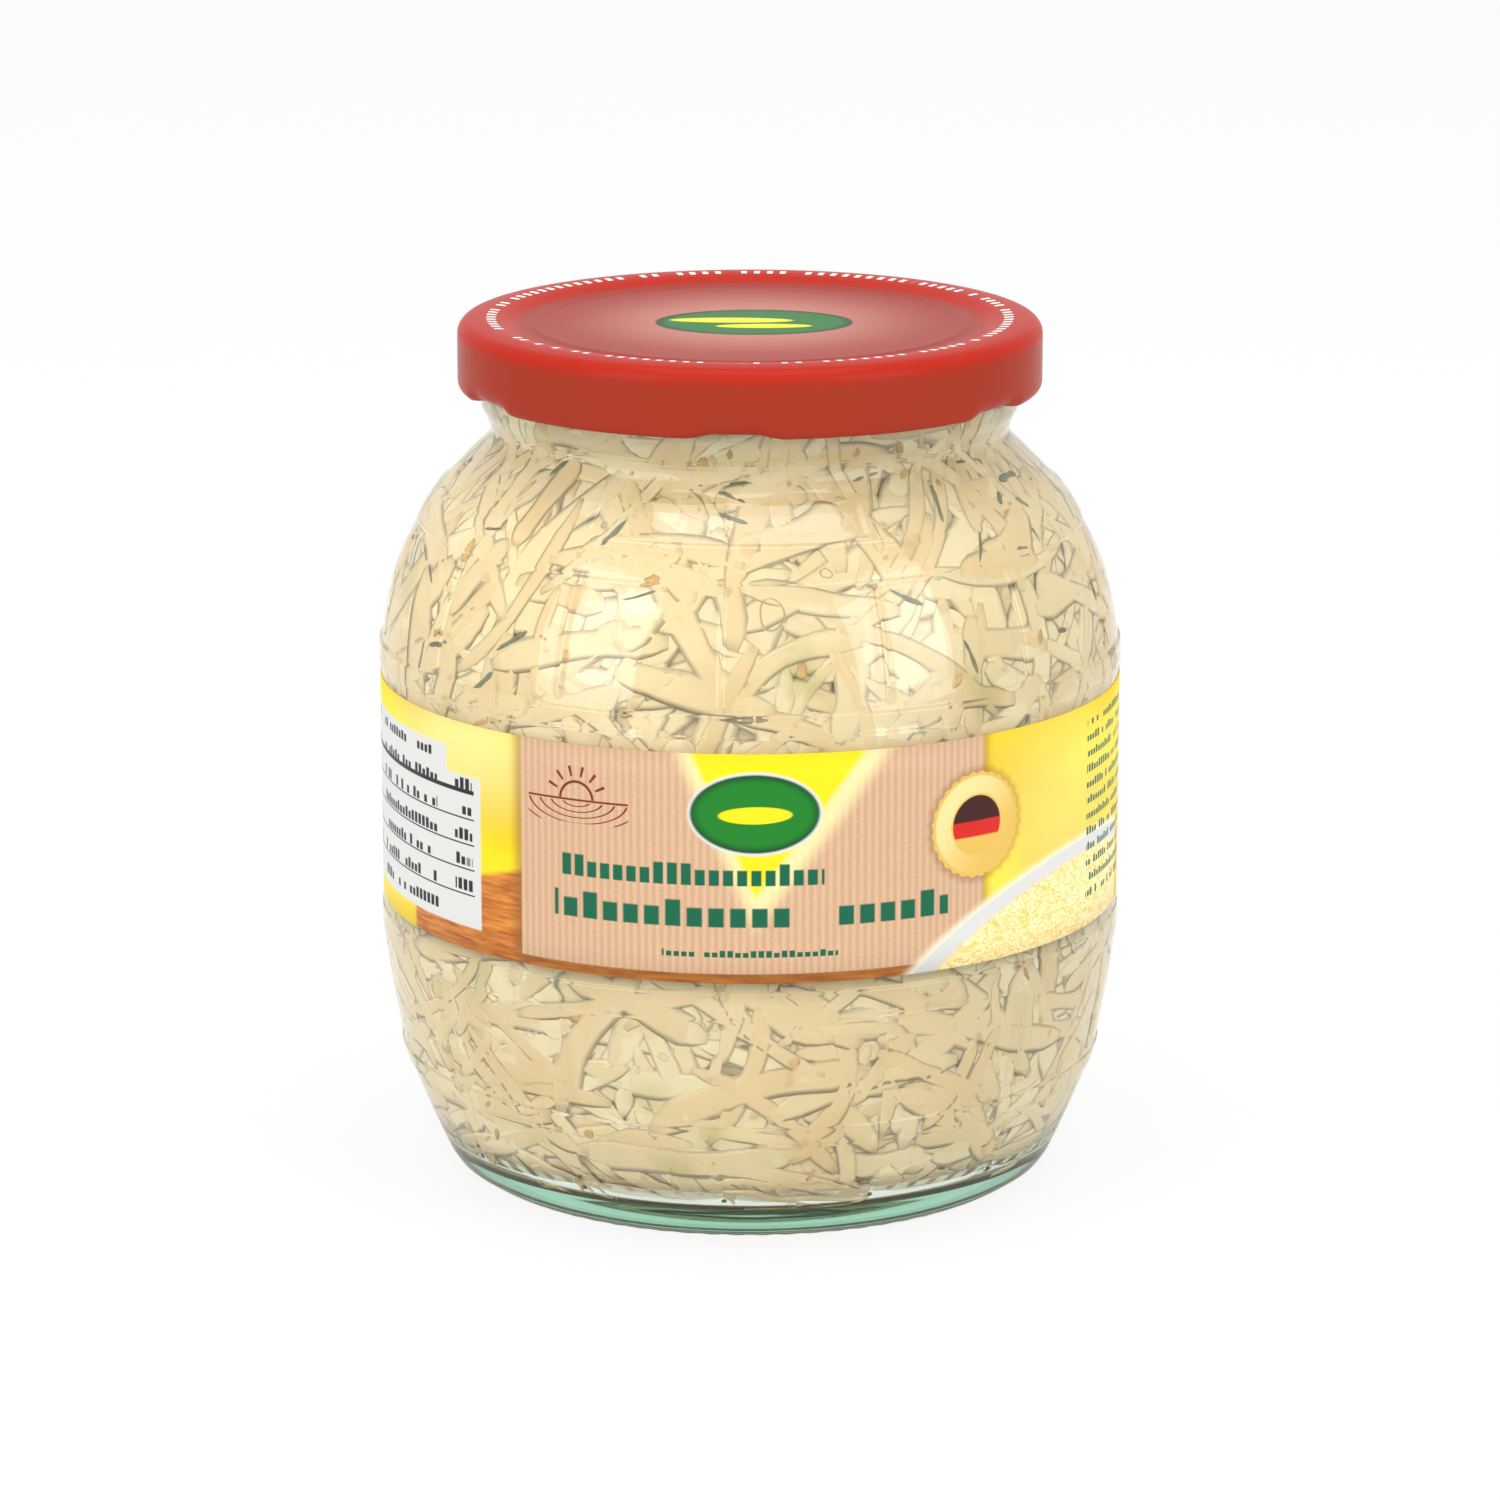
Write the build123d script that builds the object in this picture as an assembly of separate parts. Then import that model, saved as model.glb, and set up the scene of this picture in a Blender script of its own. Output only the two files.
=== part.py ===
from build123d import *
import math
import os

# Barrel-shaped preserving jar with twist-off lid, wrap-round label and packed
# sauerkraut.  Millimetres, +Z up, base resting on Z = 0, jar axis on Z, front at -Y.

# ---------------------------------------------------------------- overall sizes
overall_height = 128.3        # floor to crown of the lid ring
lid_diameter = 86.0           # twist-off lid, outside the skirt
lid_height = 10.3
panel_diameter = 109.7        # glass under the label
wall = 2.7                    # body wall
neck_wall = 3.1
label_thickness = 0.12
skin_gap = 0.03               # glue line under the label
film_gap = 0.06               # film between the glass and the packed contents

# ---------------------------------------------------------------- jar levels
lid_bottom = overall_height - lid_height
stretch = lid_bottom / 118.0  # outline heights below are drawn for 118 mm to the lid
rim_top = overall_height - 1.1
label_bottom = 42.2 * stretch
label_top = 75.7 * stretch
panel_low = label_bottom - 0.8
panel_high = label_top + 1.2
floor_inside = 5.2            # inner floor near the wall
contents_level = lid_bottom + 1.8

panel_r = panel_diameter / 2
lid_r = lid_diameter / 2
bead_r = lid_r - 3.4          # bead just under the lid
rim_r = bead_r + 0.7          # outside of the finish under the lid
mouth_r = rim_r - 3.6
neck_r = bead_r - 1.5         # narrowest place
neck_z = lid_bottom - 5.8

# ---------------------------------------------------------------- staves and hoops
stave_count = 14
stave_phase = -4.5            # degrees from the front
groove_width_deg = 0.9
groove_depth = 0.45
hoop_rise = 0.35              # how far hoops and ridges stand proud
ridge_low_z = (panel_low - 5.2, panel_low - 0.5)
ridge_high_z = (panel_high + 0.6, panel_high + 4.4)
hoop_low_z = (16.4 * stretch, 20.0 * stretch)
hoop_high_z = (98.3 * stretch, 103.9 * stretch)

# ---------------------------------------------------------------- foot
bearing_out = panel_r - 14.65
bearing_in = bearing_out - 2.8
punt_rise = 2.4
knurl_count = 72
knurl_depth = 0.4

# ---------------------------------------------------------------- lid
sheet = 0.4
knee = 2.2
crown_r = lid_r - 3.5
recess_top_r = lid_r - 6.5
recess_floor_r = lid_r - 9.0
recess_depth = 1.1
curl_height = 1.9
curl_depth = 1.7
lug_count = 6
lug_phase = -3.0
lug_width_deg = 16.0
lug_press = 0.9               # how far the skirt foot is flattened over each lug
lug_press_height = 2.4

# Body outline below and above the label panel, as (height, radius less the panel's radius),
# then the shoulder, as (height, share of the way out from neck to upper hoop).
low_rows = [(1.0, -11.45), (2.0, -10.0), (3.0, -9.25), (4.8, -8.4), (6.8, -7.5), (8.6, -6.7),
            (10.6, -5.85), (12.6, -5.05), (14.6, -4.25), (16.4, -3.65), (20.0, -2.55),
            (23.0, -1.95), (26.0, -1.4), (29.0, -0.85), (32.0, -0.42), (35.0, -0.1)]
high_rows = [(79.5, -0.05), (81.7, -0.3), (84.6, -0.75), (87.6, -1.35), (90.4, -2.1),
             (93.2, -3.15), (95.8, -4.4), (98.3, -5.8), (100.8, -7.2), (103.2, -9.0)]
shoulder_rows = [(105.8, 0.69), (108.0, 0.413), (109.8, 0.18)]
low_body = [(z * stretch, r) for z, r in low_rows] + [(panel_low, 0.0)]
high_body = [(panel_high, 0.0)] + [(z * stretch, r) for z, r in high_rows]
high_body += [(z * stretch, neck_r - panel_r + share * (panel_r - 9.0 - neck_r))
              for z, share in shoulder_rows]


def body_radius(z):
    """Radius of the plain body at height z, hoops and ridges left out."""
    pts = low_body + high_body
    for (z0, r0), (z1, r1) in zip(pts, pts[1:]):
        if z0 <= z <= z1:
            return panel_r + r0 + (r1 - r0) * (z - z0) / (z1 - z0)
    return panel_r + (pts[0][1] if z < pts[0][0] else pts[-1][1])


def outer_points():
    """Jar outline from the bearing ring up to the rim."""
    pts = [(bearing_out, 0.0), (bearing_out + 1.7, 0.3)]
    pts += [(panel_r + r, z) for z, r in low_body if z < hoop_low_z[0] - 0.1]
    pts += band(hoop_low_z)
    pts += [(panel_r + r, z) for z, r in low_body if hoop_low_z[1] + 0.6 < z < ridge_low_z[0] - 0.6]
    pts += band(ridge_low_z)
    pts += [(panel_r, panel_low), (panel_r, panel_high)]
    pts += band(ridge_high_z)
    pts += [(panel_r + r, z) for z, r in high_body
            if ridge_high_z[1] + 0.4 < z < hoop_high_z[0] - 0.6]
    pts += band(hoop_high_z)
    pts += [(panel_r + r, z) for z, r in high_body if z > hoop_high_z[1] + 0.6]
    pts += [(neck_r + 0.25, neck_z - 1.0), (neck_r, neck_z), (neck_r + 0.3, neck_z + 1.0),
            (neck_r + 0.75, neck_z + 2.0), (bead_r - 0.1, neck_z + 2.9), (bead_r, neck_z + 3.6),
            (bead_r, lid_bottom + 0.6), (rim_r, lid_bottom + 2.6), (rim_r, rim_top - 0.7),
            (rim_r - 0.7, rim_top)]
    return pts


def band(span):
    """Raised hoop: a short ramp up, a flat face following the body, a short ramp down."""
    lo, hi = span
    return [(body_radius(lo), lo), (body_radius(lo + 0.5) + hoop_rise, lo + 0.5),
            (body_radius(hi - 0.5) + hoop_rise, hi - 0.5), (body_radius(hi), hi)]


def inner_points(gap=0.0):
    """Cavity outline from the inner floor up through the mouth."""
    pts = [(panel_r - 16.35, floor_inside + 0.2 + gap),
           (panel_r - 12.65 - gap, floor_inside + 1.4 + gap)]
    heights = [z * stretch for z in (9.5, 13.0, 18.0, 24.0, 30.0, 36.0)]
    heights += [panel_low, (panel_low + panel_high) / 2, panel_high]
    heights += [z * stretch for z in (83.0, 88.0, 93.0, 97.0, 100.5, 104.0, 107.0)]
    pts += [(body_radius(z) - wall - gap, z) for z in heights]
    pts += [(neck_r - neck_wall + 1.5 - gap, neck_z - 2.5), (neck_r - neck_wall - gap, neck_z),
            (mouth_r - gap, lid_bottom + 0.5)]
    return pts


def turned(points, close_low, close_high):
    """Solid of revolution under an outline that is closed back to the axis."""
    with BuildPart() as body:
        with BuildSketch(Plane.XZ):
            with BuildLine():
                Polyline(close_low, *points, close_high)
                Line(close_high, close_low)
            make_face()
        revolve(axis=Axis.Z)
    return body.part


def cavity(gap=0.0, top=None):
    """Space inside the glass, smooth from floor to mouth."""
    pts = inner_points(gap)
    top_z = top if top is not None else rim_top + 1.0
    floor_z = floor_inside + gap
    with BuildPart() as space:
        with BuildSketch(Plane.XZ):
            with BuildLine():
                Line((0, floor_z + punt_rise * 0.5), (0, top_z))
                Line((0, top_z), (mouth_r - gap, top_z))
                Line((mouth_r - gap, top_z), pts[-1])
                Spline(*reversed(pts))
                Spline(pts[0], (pts[0][0] * 0.57, floor_z + punt_rise * 0.36),
                       (0, floor_z + punt_rise * 0.5),
                       tangents=((-1, 0.05), (-1, 0)))
            make_face()
        revolve(axis=Axis.Z)
    return space.part


def stave_cutter(z0, z1, depth):
    """Thin sliver of revolution that follows the body between two heights."""
    steps = 6
    zs = [z0 + (z1 - z0) * i / steps for i in range(steps + 1)]
    near = [(body_radius(z) - depth * min(1, 4 * min(i, steps - i) / steps), z)
            for i, z in enumerate(zs)]
    far = [(body_radius(z) + 1.5, z) for z in reversed(zs)]
    with BuildPart() as cutter:
        with BuildSketch(Plane.XZ):
            with BuildLine():
                Polyline(*near, *far, close=True)
            make_face()
        revolve(axis=Axis.Z, revolution_arc=groove_width_deg)
    return cutter.part


def make_jar():
    shell = turned(outer_points(), (0, 0), (0, rim_top))
    shell -= cavity()
    # punt under the foot and the bearing ring round it
    with BuildPart() as punt:
        with BuildSketch(Plane.XZ):
            with BuildLine():
                Polyline((0, -1), (bearing_in, -1), (bearing_in, 0))
                Spline((bearing_in, 0), (bearing_in - 2.0, 0.9), (bearing_in * 0.53, punt_rise * 0.9),
                       (0, punt_rise), tangents=((-0.6, 1), (-1, 0)))
                Line((0, punt_rise), (0, -1))
            make_face()
        revolve(axis=Axis.Z)
    shell -= punt.part
    # knurl on the outer part of the bearing ring
    notch = Pos(bearing_out + 1.1, 0, knurl_depth - 0.55) * Cylinder(0.55, 3.2, rotation=(0, 90, 0))
    shell -= [Rot(0, 0, i * 360 / knurl_count) * notch for i in range(knurl_count)]
    # stave grooves in the four zones between the hoops
    zones = [(8.0 * stretch, hoop_low_z[0] - 0.3, groove_depth * 0.6),
             (hoop_low_z[1] + 0.3, ridge_low_z[0] - 0.3, groove_depth),
             (ridge_high_z[1] + 0.3, hoop_high_z[0] - 0.3, groove_depth),
             (hoop_high_z[1] + 0.3, 107.6 * stretch, groove_depth * 0.6)]
    for z0, z1, depth in zones:
        sliver = stave_cutter(z0, z1, depth)
        turns = [Rot(0, 0, -90 + stave_phase + i * 360 / stave_count - groove_width_deg / 2)
                 for i in range(stave_count)]
        shell -= [t * sliver for t in turns]
    return shell


def make_lid():
    top = overall_height
    outline = [(0, top - recess_depth), (recess_floor_r - 1.0, top - recess_depth),
               (recess_top_r, top - 0.35), (crown_r, top)]
    with BuildPart() as lid:
        with BuildSketch(Plane.XZ):
            with BuildLine():
                Polyline(*outline)
                Line((crown_r, top), (lid_r - knee, top - 0.12))
                RadiusArc((lid_r - knee, top - 0.12), (lid_r, top - 0.12 - knee), knee)
                Polyline((lid_r, top - 0.12 - knee), (lid_r, lid_bottom + curl_height * 0.45),
                         (lid_r - 0.45, lid_bottom), (lid_r - curl_depth + 0.4, lid_bottom),
                         (lid_r - curl_depth, lid_bottom + 0.5),
                         (lid_r - curl_depth, lid_bottom + curl_height),
                         (lid_r - sheet, lid_bottom + curl_height + 0.5),
                         (lid_r - sheet, rim_top - 1.4), (lid_r - sheet - 1.4, rim_top),
                         (recess_top_r - 1.1, rim_top),
                         (recess_floor_r - 0.7, top - recess_depth - sheet),
                         (0, top - recess_depth - sheet), (0, top - recess_depth))
            make_face()
        revolve(axis=Axis.Z)
    body = lid.part
    # lugs: the curl turned in against the finish, and the flat it leaves outside
    with BuildPart() as lug:
        with BuildSketch(Plane.XZ):
            with BuildLine():
                Polyline((rim_r + 0.3, lid_bottom + 0.9), (rim_r + 0.3, lid_bottom + 2.1),
                         (lid_r - sheet, lid_bottom + 2.4), (lid_r - sheet, lid_bottom + 0.3),
                         close=True)
            make_face()
        revolve(axis=Axis.Z, revolution_arc=lug_width_deg)
    lean = math.atan2(lug_press, lug_press_height)
    press = (Pos(lid_r - lug_press / 2 + 4 * math.cos(lean), 0,
                 lid_bottom + lug_press_height / 2 - 4 * math.sin(lean))
             * Rot(0, math.degrees(lean), 0) * Box(8, 20, 8))
    for i in range(lug_count):
        middle = -90 + lug_phase + i * 360 / lug_count
        body += Rot(0, 0, middle - lug_width_deg / 2) * lug.part
        body -= Rot(0, 0, middle) * press
    return body


def make_label():
    inner = panel_r + skin_gap
    with BuildPart() as band_part:
        with BuildSketch(Plane.XY.offset(label_bottom)):
            Circle(inner + label_thickness)
            Circle(inner, mode=Mode.SUBTRACT)
        extrude(amount=label_top - label_bottom)
    return band_part.part


def make_contents():
    """Packed shreds to the level in the neck, with an uneven top."""
    body = cavity(film_gap, top=contents_level + 4.0)
    wave = []
    reach = mouth_r + 3.0
    for i in range(13):
        x = reach * i / 12
        wave.append((x, contents_level + 0.55 * math.sin(i * 1.9) - 0.35 * math.cos(i * 0.9)))
    with BuildPart() as above:
        with BuildSketch(Plane.XZ):
            with BuildLine():
                Spline(*wave, tangents=((1, 0), (1, 0)))
                Polyline(wave[-1], (reach, contents_level + 8), (0, contents_level + 8), wave[0])
            make_face()
        revolve(axis=Axis.Z)
    body -= above.part
    dips = [(9, 40, 5.0), (16, 170, 6.0), (22, 285, 7.0), (25, 95, 5.5), (27, 225, 6.0), (6, 300, 5.0)]
    for r, turn, size in dips:
        a = math.radians(turn)
        body -= Pos(r * math.cos(a), r * math.sin(a), contents_level + size - 0.8) * Sphere(size)
    return body


nodes = {
    "glass_jar": make_jar(),
    "lid": make_lid(),
    "label": make_label(),
    "sauerkraut": make_contents(),
}

os.makedirs("parts", exist_ok=True)
for name, shape in nodes.items():
    solids = shape.solids()
    solid = max(solids, key=lambda s: s.volume)
    solid.label = name
    export_step(solid, f"parts/{name}.step")
    box = solid.bounding_box()
    print(name, "solids", len(solids), "volume", round(solid.volume, 1), "valid", solid.is_valid,
          [round(v, 3) for v in (*box.min, *box.max)])
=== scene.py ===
import math
import random

import bpy
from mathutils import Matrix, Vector


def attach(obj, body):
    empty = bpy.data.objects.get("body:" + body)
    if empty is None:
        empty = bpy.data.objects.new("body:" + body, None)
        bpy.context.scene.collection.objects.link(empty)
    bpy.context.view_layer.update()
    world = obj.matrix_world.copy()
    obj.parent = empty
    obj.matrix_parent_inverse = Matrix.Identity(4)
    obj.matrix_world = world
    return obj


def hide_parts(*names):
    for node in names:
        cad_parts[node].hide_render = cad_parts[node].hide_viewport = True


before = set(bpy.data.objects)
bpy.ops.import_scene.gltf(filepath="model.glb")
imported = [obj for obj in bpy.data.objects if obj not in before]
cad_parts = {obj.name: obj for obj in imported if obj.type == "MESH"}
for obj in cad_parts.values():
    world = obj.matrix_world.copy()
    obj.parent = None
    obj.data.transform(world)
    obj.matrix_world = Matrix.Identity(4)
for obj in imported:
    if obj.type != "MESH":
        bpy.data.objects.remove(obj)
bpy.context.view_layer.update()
mm = 0.001


def clamp01(x):
    return max(0.0, min(1.0, x))


def ease(a, b, x):
    t = clamp01((x - a) / (b - a))
    return t * t * (3 - 2 * t)


def curveThrough(rows, x):
    # smooth reading of a table of (x, y) pairs that never swings past a pair
    if x <= rows[0][0]:
        return rows[0][1]
    if x >= rows[-1][0]:
        return rows[-1][1]
    for i in range(len(rows) - 1):
        if x <= rows[i + 1][0]:
            break
    (x0, y0), (x1, y1) = rows[i], rows[i + 1]
    step = (y1 - y0) / (x1 - x0)

    def slopeAt(j):
        if j == 0 or j == len(rows) - 1:
            return step
        left = (rows[j][1] - rows[j - 1][1]) / (rows[j][0] - rows[j - 1][0])
        right = (rows[j + 1][1] - rows[j][1]) / (rows[j + 1][0] - rows[j][0])
        return 0.0 if left * right <= 0 else 2 * left * right / (left + right)

    h = x1 - x0
    t = (x - x0) / h
    a, b = slopeAt(i) * h, slopeAt(i + 1) * h
    return (y0 * (1 + 2 * t) * (1 - t) ** 2 + a * t * (1 - t) ** 2
            + y1 * t * t * (3 - 2 * t) + b * t * t * (t - 1))


def wave(x, y, seed):
    # gentle repeatable unevenness between about -1 and 1
    return (math.sin(x * 1.7 + seed) * math.cos(y * 1.3 - seed * 2.1)
            + 0.6 * math.sin(x * 3.1 - y * 2.3 + seed * 3.3)
            + 0.4 * math.cos(x * 5.7 + y * 4.9 + seed)) / 2.0


def makePiece(name, points, faces, material):
    mesh = bpy.data.meshes.new(name)
    mesh.from_pydata(points, [], faces)
    mesh.validate()
    mesh.shade_smooth()
    mesh.materials.append(material)
    piece = bpy.data.objects.new(name, mesh)
    bpy.context.scene.collection.objects.link(piece)
    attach(piece, "root")
    return piece


def aroundJar(a, r, z):
    # from an angle off the front, a radius and a height in mm to a place in metres
    return (r * math.sin(a) * mm, -r * math.cos(a) * mm, z * mm)


def joinRings(s0, s1, count, faces):
    for i in range(count):
        j = (i + 1) % count
        faces.append((s0 + i, s0 + j, s1 + j, s1 + i))


def turnRings(rings, angles, points, faces):
    # each ring is a function of the angle that gives (radius, height) in mm; returns where each ring starts
    starts = []
    for ring in rings:
        starts.append(len(points))
        for a in angles:
            r, z = ring(a)
            points.append(aroundJar(a, r, z))
    for s0, s1 in zip(starts, starts[1:]):
        joinRings(s0, s1, len(angles), faces)
    return starts


def capRing(start, count, height, points, faces, upward):
    points.append((0, 0, height * mm))
    tip = len(points) - 1
    for i in range(count):
        j = (i + 1) % count
        faces.append((start + i, start + j, tip) if upward else (start + j, start + i, tip))


def zipRings(startA, anglesA, startB, anglesB, faces):
    # joins two rings with different numbers of points, A below B
    a, b = 0, 0
    nA, nB = len(anglesA), len(anglesB)
    while a < nA or b < nB:
        nextA = anglesA[a + 1] if a + 1 < nA else anglesA[0] + 2 * math.pi
        nextB = anglesB[b + 1] if b + 1 < nB else anglesB[0] + 2 * math.pi
        if b >= nB or (a < nA and nextA <= nextB):
            faces.append((startA + a % nA, startA + (a + 1) % nA, startB + b % nB))
            a += 1
        else:
            faces.append((startA + a % nA, startB + (b + 1) % nB, startB + b % nB))
            b += 1


class Bench:
    # a material's node tree with short ways to lay sums and inks on it
    def __init__(self, name):
        self.material = bpy.data.materials.new(name)
        self.material.use_nodes = True
        self.tree = self.material.node_tree
        self.tree.nodes.clear()
        self.out = self.tree.nodes.new("ShaderNodeOutputMaterial")

    def node(self, kind, **values):
        made = self.tree.nodes.new(kind)
        for key, value in values.items():
            setattr(made, key, value)
        return made

    def plug(self, value, socket):
        if isinstance(value, bpy.types.NodeSocket):
            self.tree.links.new(value, socket)
        else:
            socket.default_value = value

    def calc(self, operation, *terms):
        made = self.node("ShaderNodeMath", operation=operation)
        for term, socket in zip(terms, made.inputs):
            self.plug(term, socket)
        return made.outputs[0]

    def add(self, a, b):
        return self.calc("ADD", a, b)

    def sub(self, a, b):
        return self.calc("SUBTRACT", a, b)

    def mul(self, a, b):
        return self.calc("MULTIPLY", a, b)

    def most(self, a, b):
        return self.calc("MAXIMUM", a, b)

    def ramp(self, x, low, high):
        # 0 at low, 1 at high, smooth between
        made = self.node("ShaderNodeMapRange", interpolation_type="SMOOTHSTEP")
        for name, value in (("Value", x), ("From Min", low), ("From Max", high)):
            self.plug(value, made.inputs[name])
        return made.outputs["Result"]

    def band(self, x, low, high, soft):
        # 1 between low and high, fading inwards over the soft width at each end
        return self.mul(self.ramp(x, low, low + soft), self.ramp(x, high, high - soft))

    def distance(self, du, dv):
        return self.calc("SQRT", self.add(self.mul(du, du), self.mul(dv, dv)))

    def absorb(self, colour, density):
        made = self.node("ShaderNodeVolumeAbsorption")
        made.inputs["Color"].default_value = (*colour, 1.0)
        made.inputs["Density"].default_value = density
        self.tree.links.new(made.outputs[0], self.out.inputs["Volume"])

    def noise(self, where, scale, detail=2.0, rough=0.5, distortion=0.0):
        made = self.node("ShaderNodeTexNoise")
        self.plug(where, made.inputs["Vector"])
        made.inputs["Scale"].default_value = scale
        made.inputs["Detail"].default_value = detail
        made.inputs["Roughness"].default_value = rough
        made.inputs["Distortion"].default_value = distortion
        return made.outputs["Fac"]

    def mix(self, mask, a, b):
        made = self.node("ShaderNodeMix", data_type="RGBA")
        self.plug(mask, made.inputs["Factor"])
        for colour, place in ((a, 6), (b, 7)):  # the colour sockets of this node
            self.plug((*colour, 1.0) if isinstance(colour, tuple) else colour, made.inputs[place])
        return made.outputs[2]

    def combine(self, x, y, z):
        made = self.node("ShaderNodeCombineXYZ")
        for value, socket in zip((x, y, z), made.inputs):
            self.plug(value, socket)
        return made.outputs[0]

    def split(self, vector):
        made = self.node("ShaderNodeSeparateXYZ")
        self.plug(vector, made.inputs[0])
        return made.outputs

    def objectSpace(self):
        return self.node("ShaderNodeTexCoord").outputs["Object"]

    def stretchMap(self, where, scale, turn=(0, 0, 0)):
        made = self.node("ShaderNodeMapping")
        self.plug(where, made.inputs["Vector"])
        made.inputs["Scale"].default_value = scale
        made.inputs["Rotation"].default_value = turn
        return made.outputs[0]

    def bump(self, height, strength, distance):
        made = self.node("ShaderNodeBump")
        made.inputs["Strength"].default_value = strength
        made.inputs["Distance"].default_value = distance
        self.plug(height, made.inputs["Height"])
        return made.outputs[0]

    def principled(self, **values):
        made = self.node("ShaderNodeBsdfPrincipled")
        for key, value in values.items():
            socket = made.inputs[key.replace("_", " ")]
            if isinstance(value, tuple) and len(value) == 3 and socket.type == "RGBA":
                value = (*value, 1.0)
            self.plug(value, socket)
        self.tree.links.new(made.outputs[0], self.out.inputs["Surface"])
        return made

    # soft-edged printed shapes on a flat sheet, u across and v up, in mm
    def inBox(self, u, v, u0, u1, v0, v1, soft=0.08):
        across = self.mul(self.ramp(u, u0 - soft, u0 + soft), self.ramp(u, u1 + soft, u1 - soft))
        up = self.mul(self.ramp(v, v0 - soft, v0 + soft), self.ramp(v, v1 + soft, v1 - soft))
        return self.mul(across, up)

    def inOval(self, u, v, cu, cv, ru, rv, soft=0.02):
        du = self.mul(self.sub(u, cu), 1 / ru)
        dv = self.mul(self.sub(v, cv), 1 / rv)
        return self.ramp(self.distance(du, dv), 1 + soft, 1 - soft)

    def pastLine(self, u, v, p, q, soft=0.08):
        # 1 to the left of the line from p to q
        du, dv = q[0] - p[0], q[1] - p[1]
        length = math.hypot(du, dv)
        across = self.add(self.mul(u, -dv / length), self.mul(v, du / length))
        here = (-dv * p[0] + du * p[1]) / length
        return self.ramp(self.sub(across, here), -soft, soft)

    def wordBars(self, u, v, box, pitch, fill, letter, keep, seed):
        # rows of plain upright blocks with gaps between words, standing in for print
        u0, u1, v0, v1 = box
        rowAt = self.mul(self.sub(v, v0), 1 / pitch)
        row = self.calc("FLOOR", rowAt)
        within = self.sub(rowAt, row)
        along = self.add(self.mul(u, 1 / letter), self.mul(row, 3.37))
        cell = self.calc("FLOOR", along)
        made = self.node("ShaderNodeTexWhiteNoise", noise_dimensions="2D")
        self.tree.links.new(self.combine(cell, self.add(row, seed), 0.0), made.inputs["Vector"])
        words = self.ramp(made.outputs["Value"], keep + 0.01, keep)
        # some stand taller
        tall = self.ramp(self.calc("FRACT", self.mul(made.outputs["Value"], 13.7)), 0.6, 0.62)
        top = self.add(0.12 + fill * 0.72, self.mul(tall, fill * 0.28))
        body = self.mul(self.ramp(within, 0.1, 0.14), self.ramp(self.sub(within, top), 0.03, -0.03))
        share = self.sub(along, cell)
        words = self.mul(words, self.mul(self.ramp(share, 0.04, 0.14), self.ramp(share, 0.86, 0.76)))
        return self.mul(self.mul(body, words), self.inBox(u, v, u0, u1, v0, v1))


# the jar, in mm, heights from the foot
jarForm = {
    "panelRadius": 54.85,
    "wall": 2.7,
    "neckWall": 3.1,
    "neckRadius": 38.1,
    "mouthRadius": 36.7,
    "rimRadius": 40.3,
    "rimTop": 127.2,
    "puntRise": 2.4,
    "staves": 14,
    "stavePhase": -4.5,      # degrees
    "grooveDepth": 0.42,
    "grooveHalf": 0.42,      # degrees
    "staveCrown": 0.16,      # how far a stave falls away towards its edges
    "hoopRise": 0.34,
    "knurls": 72,
    "knurlDepth": 0.38,
}
# (height, radius past the label panel's) below and above the panel
lowRows = [(0.6, -12.2), (1.0, -11.45), (2.0, -10.0), (3.0, -9.25), (4.8, -8.4), (6.8, -7.5), (8.6, -6.7),
           (10.6, -5.85), (12.6, -5.05), (14.6, -4.25), (16.4, -3.65), (20.0, -2.55), (23.0, -1.95),
           (26.0, -1.4), (29.0, -0.85), (32.0, -0.42), (35.0, -0.1), (41.4, 0.0)]
highRows = [(76.9, 0.0), (79.5, -0.05), (81.7, -0.3), (84.6, -0.75), (87.6, -1.35), (90.4, -2.1),
            (93.2, -3.15), (95.8, -4.4), (98.3, -5.8), (100.8, -7.2), (103.2, -9.0), (105.8, -11.4),
            (108.0, -13.55), (109.8, -15.4), (111.0, -16.4), (112.2, -16.75), (113.2, -16.45),
            (114.2, -16.0), (115.1, -15.35), (115.8, -15.25), (118.6, -15.25)]
neckRings = [(113.5, 114.0), (112.75, 113.15)]
hoops = [(16.4, 20.0), (36.2, 40.9), (77.5, 81.3), (98.3, 103.9)]
# (from, to, share of the full groove depth)
staveZones = [(7.0, 16.1, 0.55), (20.3, 35.9, 1.0), (81.6, 98.0, 1.0), (104.2, 108.6, 0.6)]


def bodyRadius(z):
    return jarForm["panelRadius"] + curveThrough(lowRows + highRows, z)


def hoopRise(z):
    rise = 0.0
    for low, high in hoops:
        rise += ease(low, low + 0.55, z) * (1 - ease(high - 0.55, high, z))
    for low, high in neckRings:
        rise += 0.35 * ease(low, low + 0.2, z) * (1 - ease(high - 0.2, high, z))
    return rise * jarForm["hoopRise"]


def staveDip(a, z):
    zone = 0.0
    for low, high, depth in staveZones:
        zone = max(zone, depth * ease(low, low + 0.9, z) * (1 - ease(high - 0.9, high, z)))
    if zone == 0.0:
        return 0.0
    pitch = 360 / jarForm["staves"]
    d = (math.degrees(a) - jarForm["stavePhase"] + pitch / 2) % pitch - pitch / 2
    groove = math.exp(-(d / jarForm["grooveHalf"]) ** 2)
    crown = math.exp(-(d / 3.2) ** 2)
    return zone * (jarForm["grooveDepth"] * groove + jarForm["staveCrown"] * crown)


def outerRing(z):
    return lambda a: (bodyRadius(z) + hoopRise(z) - staveDip(a, z), z)


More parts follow.
